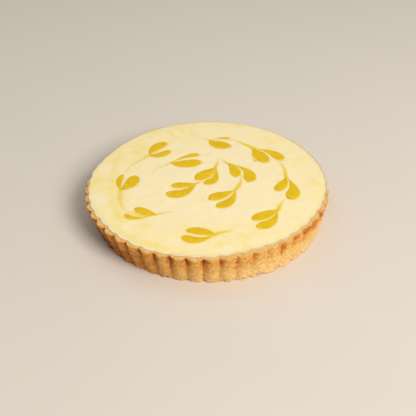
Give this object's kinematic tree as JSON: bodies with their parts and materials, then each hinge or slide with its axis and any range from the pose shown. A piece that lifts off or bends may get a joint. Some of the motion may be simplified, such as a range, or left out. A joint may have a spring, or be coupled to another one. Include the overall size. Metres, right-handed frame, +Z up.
{
  "type": "cheesecake tart",
  "caption": "Round fluted shortcrust tart filled to the rim with baked cheesecake, its top dotted with heart-shaped drops of yellow fruit sauce.",
  "frame": {"origin": "middle of the flat underside, where the tart rests", "axes": "+Z up; -Y towards the front of the picture, +X to its right"},
  "size_m": [0.2271, 0.2297, 0.0303],
  "materials": {
    "pastry": "baked shortcrust pastry, dry, crumbly and matt",
    "cheesecake": "baked cheesecake, smooth with a soft satin sheen",
    "fruit_sauce": "smooth glossy yellow fruit sauce"
  },
  "bodies": {
    "root": {"crust": "pastry", "filling": "cheesecake", "sauce_heart_01": "fruit_sauce", "sauce_heart_02": "fruit_sauce", "sauce_heart_03": "fruit_sauce", "sauce_heart_04": "fruit_sauce", "sauce_heart_05": "fruit_sauce", "sauce_heart_06": "fruit_sauce", "sauce_heart_07": "fruit_sauce", "sauce_heart_08": "fruit_sauce", "sauce_heart_09": "fruit_sauce", "sauce_heart_10": "fruit_sauce", "sauce_heart_11": "fruit_sauce", "sauce_heart_12": "fruit_sauce", "sauce_heart_13": "fruit_sauce"}
  },
  "joints": []
}
